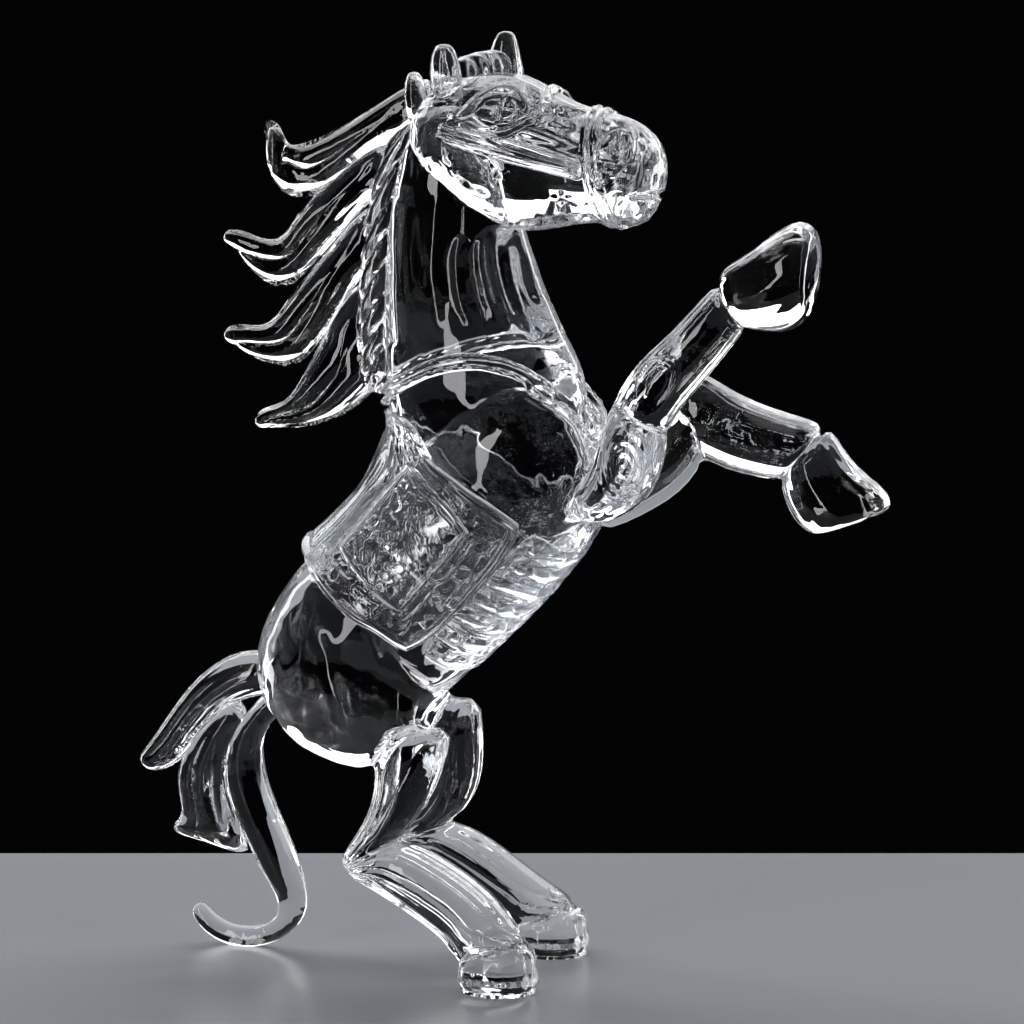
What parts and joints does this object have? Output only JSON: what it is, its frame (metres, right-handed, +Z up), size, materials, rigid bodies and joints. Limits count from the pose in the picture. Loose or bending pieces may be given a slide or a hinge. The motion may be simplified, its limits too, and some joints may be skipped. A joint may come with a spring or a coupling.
{
  "type": "crystal glass rearing horse figurine",
  "caption": "Clear glass ornament of a rearing horse with flowing mane, bridle and pressed saddle cloth; it stands on its hind hooves and the tip of its tail.",
  "frame": {"origin": "on the floor, under the middle of the figurine's bounding box", "axes": "+Z up; +X the way the horse faces; +Y the horse's own left"},
  "size_m": [0.1988, 0.0594, 0.24],
  "materials": {
    "clear_crystal": "fire-polished, clear, hot-worked lead-free crystal",
    "pressed_crystal": "clear crystal pressed with a fine pebble and scroll relief",
    "bridle_crystal": "clear crystal bands laid on hot"
  },
  "bodies": {
    "root": {"belly_girth": "pressed_crystal", "breast_collar": "pressed_crystal", "browband": "bridle_crystal", "far_cheek_strap": "bridle_crystal", "far_ear": "clear_crystal", "far_eye": "clear_crystal", "far_fore_hoof": "clear_crystal", "far_forearm": "clear_crystal", "far_gaskin": "clear_crystal", "far_hind_cannon": "clear_crystal", "far_hind_hoof": "clear_crystal", "far_poll_tuft": "clear_crystal", "far_saddle_flap": "pressed_crystal", "far_upper_arm": "clear_crystal", "forelock": "clear_crystal", "head": "clear_crystal", "headpiece": "bridle_crystal", "mane_crest": "clear_crystal", "mane_lock_1": "clear_crystal", "mane_lock_2": "clear_crystal", "mane_lock_3": "clear_crystal", "mane_lock_4": "clear_crystal", "near_cheek_strap": "bridle_crystal", "near_ear": "clear_crystal", "near_eye": "clear_crystal", "near_fore_hoof": "clear_crystal", "near_forearm": "clear_crystal", "near_gaskin": "clear_crystal", "near_hind_cannon": "clear_crystal", "near_hind_hoof": "clear_crystal", "near_poll_tuft": "clear_crystal", "near_saddle_flap": "pressed_crystal", "near_upper_arm": "clear_crystal", "noseband": "bridle_crystal", "saddle_cloth": "pressed_crystal", "saddle_seat": "pressed_crystal", "tail_hook": "clear_crystal", "tail_middle_strand": "clear_crystal", "tail_outer_strand": "clear_crystal", "trunk": "clear_crystal"}
  },
  "joints": []
}
